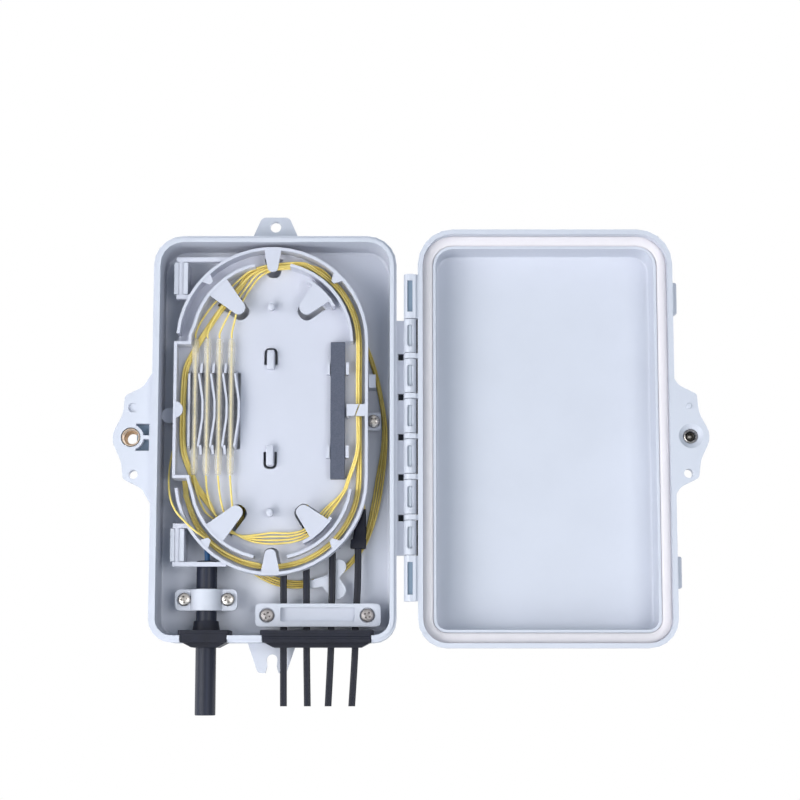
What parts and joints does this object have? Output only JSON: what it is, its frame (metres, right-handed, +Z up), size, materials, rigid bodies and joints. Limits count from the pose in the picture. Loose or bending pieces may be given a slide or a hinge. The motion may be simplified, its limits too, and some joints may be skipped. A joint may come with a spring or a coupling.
{
  "type": "fiber termination box",
  "caption": "Open wall-mount fibre termination box: tub with hinged lid and gasket, swing-out splice tray with looped fibres, clamped feeder and drop cables, bolt latch.",
  "frame": {"origin": "middle of the base's flat back, on the wall plane", "axes": "+X along the wall towards the open lid, +Y into the wall, +Z up"},
  "size_m": [0.2602, 0.0262, 0.2226],
  "materials": {
    "grey_plastic": "fine matt moulding, pale bluish grey",
    "tray_plastic": "fine matt moulding, a shade lighter than the case",
    "silicone": "soft white sealing cord",
    "brass": "turned, tumbled",
    "steel": "plated, satin",
    "black_rubber": "moulded black rubber",
    "cable_jacket": "black polyethylene jacket, slight sheen",
    "blue_tube": "smooth blue buffer tube",
    "yellow_fibre": "smooth yellow buffer",
    "clear_sleeve": "clear heat-shrink with the fibre showing inside",
    "dark_foam": "closed-cell foam, dark slate"
  },
  "bodies": {
    "base": {"base_shell": "grey_plastic", "threaded_insert": "brass", "hinge_pin": "steel", "feeder_grommet": "black_rubber", "drop_grommet": "black_rubber", "feeder_cable": "cable_jacket", "loose_tube": "blue_tube", "drop_cable_1": "cable_jacket", "drop_cable_2": "cable_jacket", "drop_cable_3": "cable_jacket", "drop_cable_4": "cable_jacket", "fan_out_boot_1": "black_rubber", "fan_out_boot_2": "black_rubber", "fan_out_boot_3": "black_rubber", "fan_out_boot_4": "black_rubber", "base_fibre_1": "yellow_fibre", "base_fibre_2": "yellow_fibre", "base_fibre_3": "yellow_fibre", "base_fibre_4": "yellow_fibre", "side_bracket": "grey_plastic", "bracket_screw": "steel"},
    "lid": {"lid_shell": "grey_plastic", "lid_gasket": "silicone", "bolt_retainer": "steel"},
    "bolt_slider": {"bolt_washer": "black_rubber"},
    "bolt": {"lock_bolt": "steel"},
    "tray": {"splice_tray": "tray_plastic", "splice_sleeve_1": "clear_sleeve", "splice_sleeve_2": "clear_sleeve", "splice_sleeve_3": "clear_sleeve", "splice_sleeve_4": "clear_sleeve", "foam_strip": "dark_foam", "tray_fibre_1": "yellow_fibre", "tray_fibre_2": "yellow_fibre", "tray_fibre_3": "yellow_fibre", "tray_fibre_4": "yellow_fibre", "feeder_fibre_1": "yellow_fibre", "feeder_fibre_2": "yellow_fibre", "feeder_fibre_3": "yellow_fibre", "feeder_fibre_4": "yellow_fibre"},
    "feeder_saddle": {"feeder_clamp": "grey_plastic", "feeder_screw_1": "steel", "feeder_screw_2": "steel"},
    "drop_bar": {"drop_clamp": "grey_plastic", "drop_screw_1": "steel", "drop_screw_2": "steel"}
  },
  "joints": [
    {"name": "lid_hinge", "type": "hinge", "parent": "base", "child": "lid", "pos_m": [0.0594, -0.023, 0], "axis": [0, 0, -1], "range_deg": [0, 180]},
    {"name": "tray_hinge", "type": "hinge", "parent": "base", "child": "tray", "pos_m": [-0.0421, -0.0162, 0.01215], "axis": [0, 0, 1], "range_deg": [-100, 0]},
    {"name": "bolt_advance", "type": "slide", "parent": "lid", "child": "bolt_slider", "axis": [0, -1, 0], "range_m": [0, 0.007]},
    {"name": "bolt_turn", "type": "hinge", "parent": "bolt_slider", "child": "bolt", "pos_m": [0.1816, -0.0255, 0], "axis": [0, -1, 0], "range_deg": [0, 3151]},
    {"name": "feeder_clamp_lift", "type": "slide", "parent": "base", "child": "feeder_saddle", "axis": [0, 1, 0], "range_m": [-0.01, 0]},
    {"name": "drop_clamp_lift", "type": "slide", "parent": "base", "child": "drop_bar", "axis": [0, 1, 0], "range_m": [-0.01, 0]}
  ],
  "couplings": [
    {"joint": "bolt_turn", "follows": "bolt_advance", "rad_per_m": 7854}
  ]
}
